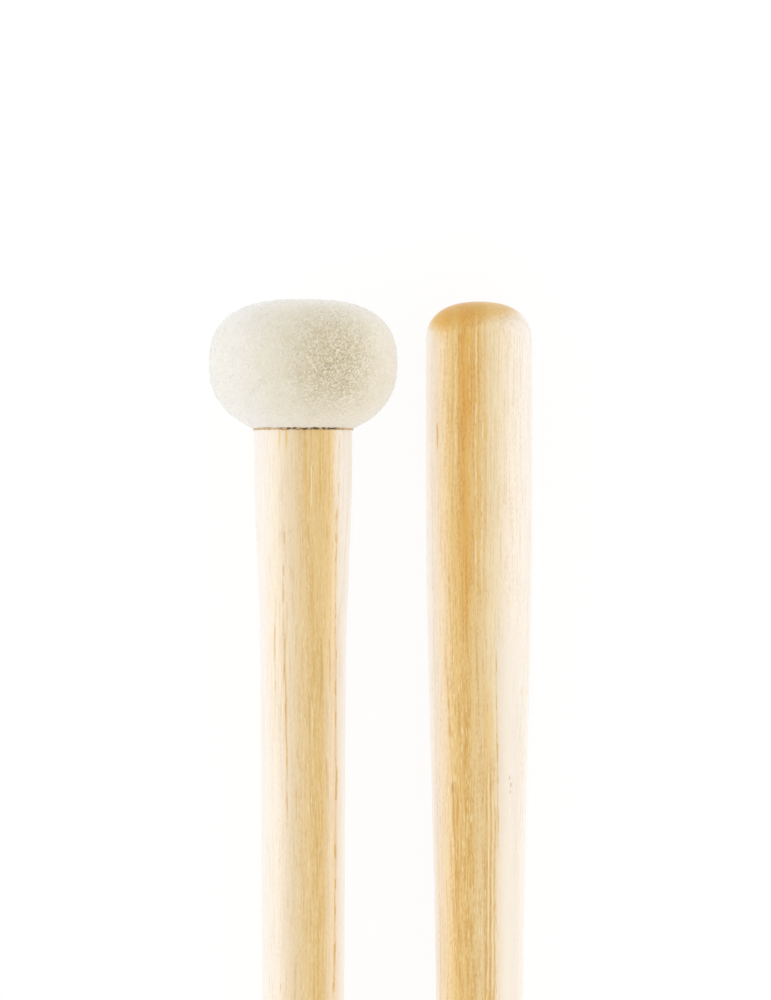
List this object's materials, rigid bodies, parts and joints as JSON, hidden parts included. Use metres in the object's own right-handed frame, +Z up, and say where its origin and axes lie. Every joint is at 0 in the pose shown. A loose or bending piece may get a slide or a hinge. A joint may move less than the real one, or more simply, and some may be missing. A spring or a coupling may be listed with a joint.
{
  "type": "bass drum mallet pair",
  "caption": "Bass drum mallets with hard round felt heads glued on turned hickory shafts with domed butts, lying head to tail.",
  "frame": {"origin": "on the surface that the pair lies on, midway between the two mallets and midway along them", "axes": "+Z up from the surface; +Y along the mallets, towards the left mallet's felt head and the right mallet's butt; +X towards the right mallet"},
  "size_m": [0.0736, 0.3802, 0.0379],
  "materials": {
    "hickory": "clear satin lacquer over fine straight grain",
    "felt": "dense pressed wool felt with a short nap",
    "glue": "cured dark brown adhesive"
  },
  "bodies": {
    "left_mallet": {"left_shaft": "hickory", "left_felt_head": "felt", "left_tenon_glue": "glue", "left_shoulder_glue": "glue"},
    "right_mallet": {"right_shaft": "hickory", "right_felt_head": "felt", "right_tenon_glue": "glue", "right_shoulder_glue": "glue"}
  },
  "joints": [
    {"name": "right_mallet_lift", "type": "slide", "parent": "left_mallet", "child": "right_mallet", "axis": [0, 0, 1], "range_m": [0, 0.15]}
  ]
}
